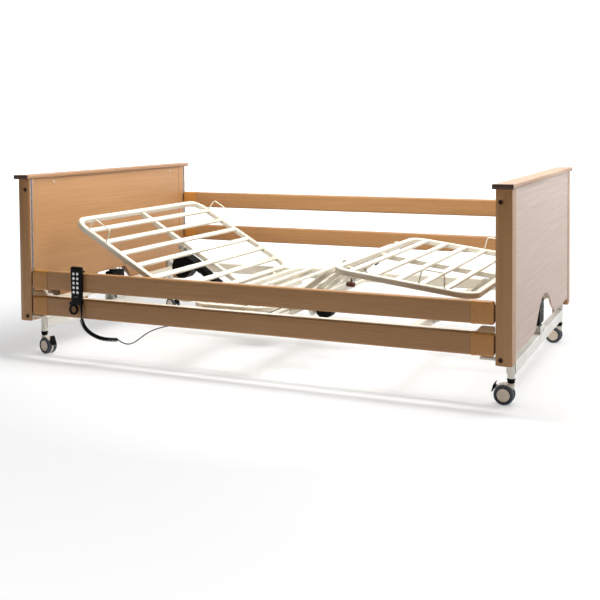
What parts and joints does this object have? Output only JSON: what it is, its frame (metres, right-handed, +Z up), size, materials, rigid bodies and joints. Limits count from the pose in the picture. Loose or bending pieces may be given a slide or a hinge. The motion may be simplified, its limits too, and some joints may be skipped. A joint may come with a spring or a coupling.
{
  "type": "adjustable hospital bed",
  "caption": "Electric care bed with wooden end boards, sliding side rails, jointed slatted deck, column lifts at both ends, braked twin-wheel casters and a corded handset.",
  "frame": {"origin": "on the floor under the centre of the bed", "axes": "+X along the bed from head to foot, +Y across towards the raised side rails, +Z up"},
  "size_m": [2.216, 1.3765, 0.824],
  "materials": {
    "beech": "satin",
    "cap_plastic": "satin",
    "cream_paint": "satin",
    "zinc": "satin",
    "wire": "satin",
    "aluminium": "satin",
    "black_plastic": "satin",
    "rubber_red": "matte",
    "cord": "matte",
    "hood": "satin",
    "tyre": "matte",
    "pedal": "satin",
    "button_white": "satin"
  },
  "bodies": {
    "head_legs": {"head_leg_frame": "cream_paint", "head_lift_motor": "black_plastic", "head_caster_collars": "black_plastic"},
    "foot_legs": {"foot_leg_frame": "cream_paint", "foot_lift_motor": "black_plastic", "foot_caster_collars": "black_plastic"},
    "bed_frame": {"main_frame": "cream_paint", "lift_columns": "cream_paint", "lift_rods": "zinc", "end_posts": "beech", "head_panels": "beech", "foot_panels": "beech", "end_top_rails": "beech", "rail_tracks": "aluminium", "post_plugs": "cap_plastic", "seat_section": "cream_paint", "section_hinge_pins": "zinc", "control_box": "black_plastic", "handset_lead": "cord", "handset_curl": "cord", "handset_tail": "cord"},
    "back": {"back_section": "cream_paint", "back_retainers": "wire"},
    "thigh": {"thigh_section": "cream_paint", "thigh_pins": "zinc"},
    "calf": {"calf_section": "cream_paint", "calf_retainers": "wire", "calf_buffer": "rubber_red"},
    "back_motor_unit": {"back_motor": "black_plastic"},
    "back_rod_unit": {"back_rod": "zinc"},
    "leg_motor_unit": {"leg_motor": "black_plastic"},
    "leg_rod_unit": {"leg_rod": "zinc"},
    "stays": {"calf_stays": "zinc"},
    "near_top": {"near_top_bar": "beech", "handset_shell": "black_plastic"},
    "near_low": {"near_low_bar": "beech"},
    "far_top": {"far_top_bar": "beech"},
    "far_low": {"far_low_bar": "beech"},
    "head_near_caster": {"head_near_caster_hood": "hood"},
    "head_near_wheel_pair": {"head_near_wheels": "tyre"},
    "head_near_pedal": {"head_near_brake_pedal": "pedal"},
    "head_far_caster": {"head_far_caster_hood": "hood"},
    "head_far_wheel_pair": {"head_far_wheels": "tyre"},
    "head_far_pedal": {"head_far_brake_pedal": "pedal"},
    "foot_near_caster": {"foot_near_caster_hood": "hood"},
    "foot_near_wheel_pair": {"foot_near_wheels": "tyre"},
    "foot_near_pedal": {"foot_near_brake_pedal": "pedal"},
    "foot_far_caster": {"foot_far_caster_hood": "hood"},
    "foot_far_wheel_pair": {"foot_far_wheels": "tyre"},
    "foot_far_pedal": {"foot_far_brake_pedal": "pedal"},
    "button_01_cap": {"button_01": "button_white"},
    "button_02_cap": {"button_02": "button_white"},
    "button_03_cap": {"button_03": "button_white"},
    "button_04_cap": {"button_04": "button_white"},
    "button_05_cap": {"button_05": "button_white"},
    "button_06_cap": {"button_06": "button_white"},
    "button_07_cap": {"button_07": "button_white"},
    "button_08_cap": {"button_08": "button_white"},
    "button_09_cap": {"button_09": "button_white"},
    "button_10_cap": {"button_10": "button_white"}
  },
  "joints": [
    {"name": "head_lift", "type": "slide", "parent": "head_legs", "child": "bed_frame", "axis": [0, 0, 1], "range_m": [0, 0.4]},
    {"name": "foot_lift", "type": "slide", "parent": "bed_frame", "child": "foot_legs", "axis": [0, 0, -1], "range_m": [0, 0.4]},
    {"name": "back_lift", "type": "hinge", "parent": "bed_frame", "child": "back", "pos_m": [-0.314, 0, 0.273], "axis": [0, 1, 0], "range_deg": [-30, 38]},
    {"name": "thigh_lift", "type": "hinge", "parent": "bed_frame", "child": "thigh", "pos_m": [0.086, 0, 0.273], "axis": [0, -1, 0], "range_deg": [-37.2, 2.8]},
    {"name": "knee", "type": "hinge", "parent": "thigh", "child": "calf", "pos_m": [0.33499, 0, 0.462], "axis": [0, -1, 0], "range_deg": [-3.5, 44.5]},
    {"name": "back_motor_pivot", "type": "hinge", "parent": "back", "child": "back_motor_unit", "pos_m": [-0.65896, 0, 0.43752], "axis": [0, -1, 0], "range_deg": [-1.5, 2]},
    {"name": "back_rod_slide", "type": "slide", "parent": "back_motor_unit", "child": "back_rod_unit", "axis": [0.8141, 0, -0.5807], "range_m": [-0.036, 0.044]},
    {"name": "leg_motor_pivot", "type": "hinge", "parent": "bed_frame", "child": "leg_motor_unit", "pos_m": [0.045, 0, 0.17], "axis": [0, -1, 0], "range_deg": [-28, 3]},
    {"name": "leg_rod_slide", "type": "slide", "parent": "leg_motor_unit", "child": "leg_rod_unit", "axis": [0.7824, 0, 0.6228], "range_m": [-0.048, 0.005]},
    {"name": "stay_pivot", "type": "hinge", "parent": "bed_frame", "child": "stays", "pos_m": [0.68, 0, 0.215], "axis": [0, -1, 0], "range_deg": [-35, 4]},
    {"name": "near_top_rail", "type": "slide", "parent": "bed_frame", "child": "near_top", "axis": [0, 0, 1], "range_m": [0, 0.26]},
    {"name": "near_low_rail", "type": "slide", "parent": "bed_frame", "child": "near_low", "axis": [0, 0, 1], "range_m": [0, 0.2]},
    {"name": "far_top_rail", "type": "slide", "parent": "bed_frame", "child": "far_top", "axis": [0, 0, 1], "range_m": [-0.26, 0]},
    {"name": "far_low_rail", "type": "slide", "parent": "bed_frame", "child": "far_low", "axis": [0, 0, 1], "range_m": [-0.2, 0]},
    {"name": "head_near_swivel", "type": "hinge", "parent": "head_legs", "child": "head_near_caster", "pos_m": [-1.071, -0.542, 0.09], "axis": [0, 0, 1], "continuous": true},
    {"name": "head_near_roll", "type": "hinge", "parent": "head_near_caster", "child": "head_near_wheel_pair", "pos_m": [-1.04685, -0.54847, 0.0375], "axis": [0.2588, 0.9659, 0], "continuous": true},
    {"name": "head_near_brake", "type": "hinge", "parent": "head_near_caster", "child": "head_near_pedal", "pos_m": [-1.0256, -0.55416, 0.0645], "axis": [0.2588, 0.9659, 0], "range_deg": [0, 8]},
    {"name": "head_far_swivel", "type": "hinge", "parent": "head_legs", "child": "head_far_caster", "pos_m": [-1.071, 0.542, 0.09], "axis": [0, 0, 1], "continuous": true},
    {"name": "head_far_roll", "type": "hinge", "parent": "head_far_caster", "child": "head_far_wheel_pair", "pos_m": [-1.04782, 0.53263, 0.0375], "axis": [0.3746, 0.9272, 0], "continuous": true},
    {"name": "head_far_brake", "type": "hinge", "parent": "head_far_caster", "child": "head_far_pedal", "pos_m": [-1.02742, 0.52439, 0.0645], "axis": [0.3746, 0.9272, 0], "range_deg": [0, 8]},
    {"name": "foot_near_swivel", "type": "hinge", "parent": "foot_legs", "child": "foot_near_caster", "pos_m": [1.071, -0.542, 0.09], "axis": [0, 0, 1], "continuous": true},
    {"name": "foot_near_roll", "type": "hinge", "parent": "foot_near_caster", "child": "foot_near_wheel_pair", "pos_m": [1.046, -0.542, 0.0375], "axis": [0, -1, 0], "continuous": true},
    {"name": "foot_near_brake", "type": "hinge", "parent": "foot_near_caster", "child": "foot_near_pedal", "pos_m": [1.024, -0.542, 0.0645], "axis": [0, -1, 0], "range_deg": [0, 8]},
    {"name": "foot_far_swivel", "type": "hinge", "parent": "foot_legs", "child": "foot_far_caster", "pos_m": [1.071, 0.542, 0.09], "axis": [0, 0, 1], "continuous": true},
    {"name": "foot_far_roll", "type": "hinge", "parent": "foot_far_caster", "child": "foot_far_wheel_pair", "pos_m": [1.04606, 0.54374, 0.0375], "axis": [-0.0698, -0.9976, 0], "continuous": true},
    {"name": "foot_far_brake", "type": "hinge", "parent": "foot_far_caster", "child": "foot_far_pedal", "pos_m": [1.02411, 0.54528, 0.0645], "axis": [-0.0698, -0.9976, 0], "range_deg": [0, 8]},
    {"name": "button_01_press", "type": "slide", "parent": "near_top", "child": "button_01_cap", "axis": [0, 1, 0], "range_m": [0, 0.001], "stiffness_N_per_m": 400},
    {"name": "button_02_press", "type": "slide", "parent": "near_top", "child": "button_02_cap", "axis": [0, 1, 0], "range_m": [0, 0.001], "stiffness_N_per_m": 400},
    {"name": "button_03_press", "type": "slide", "parent": "near_top", "child": "button_03_cap", "axis": [0, 1, 0], "range_m": [0, 0.001], "stiffness_N_per_m": 400},
    {"name": "button_04_press", "type": "slide", "parent": "near_top", "child": "button_04_cap", "axis": [0, 1, 0], "range_m": [0, 0.001], "stiffness_N_per_m": 400},
    {"name": "button_05_press", "type": "slide", "parent": "near_top", "child": "button_05_cap", "axis": [0, 1, 0], "range_m": [0, 0.001], "stiffness_N_per_m": 400},
    {"name": "button_06_press", "type": "slide", "parent": "near_top", "child": "button_06_cap", "axis": [0, 1, 0], "range_m": [0, 0.001], "stiffness_N_per_m": 400},
    {"name": "button_07_press", "type": "slide", "parent": "near_top", "child": "button_07_cap", "axis": [0, 1, 0], "range_m": [0, 0.001], "stiffness_N_per_m": 400},
    {"name": "button_08_press", "type": "slide", "parent": "near_top", "child": "button_08_cap", "axis": [0, 1, 0], "range_m": [0, 0.001], "stiffness_N_per_m": 400},
    {"name": "button_09_press", "type": "slide", "parent": "near_top", "child": "button_09_cap", "axis": [0, 1, 0], "range_m": [0, 0.001], "stiffness_N_per_m": 400},
    {"name": "button_10_press", "type": "slide", "parent": "near_top", "child": "button_10_cap", "axis": [0, 1, 0], "range_m": [0, 0.001], "stiffness_N_per_m": 400}
  ],
  "couplings": [
    {"joint": "foot_lift", "follows": "head_lift", "ratio": 1},
    {"joint": "knee", "follows": "thigh_lift", "ratio": -1.1909},
    {"joint": "back_motor_pivot", "follows": "back_lift", "ratio": 0.047782},
    {"joint": "back_rod_slide", "follows": "back_lift", "m_per_rad": 0.062396},
    {"joint": "leg_motor_pivot", "follows": "thigh_lift", "ratio": 0.71973},
    {"joint": "leg_rod_slide", "follows": "thigh_lift", "m_per_rad": 0.071769},
    {"joint": "stay_pivot", "follows": "thigh_lift", "ratio": 0.9037},
    {"joint": "near_low_rail", "follows": "near_top_rail", "ratio": 0.74},
    {"joint": "far_low_rail", "follows": "far_top_rail", "ratio": 0.74}
  ]
}
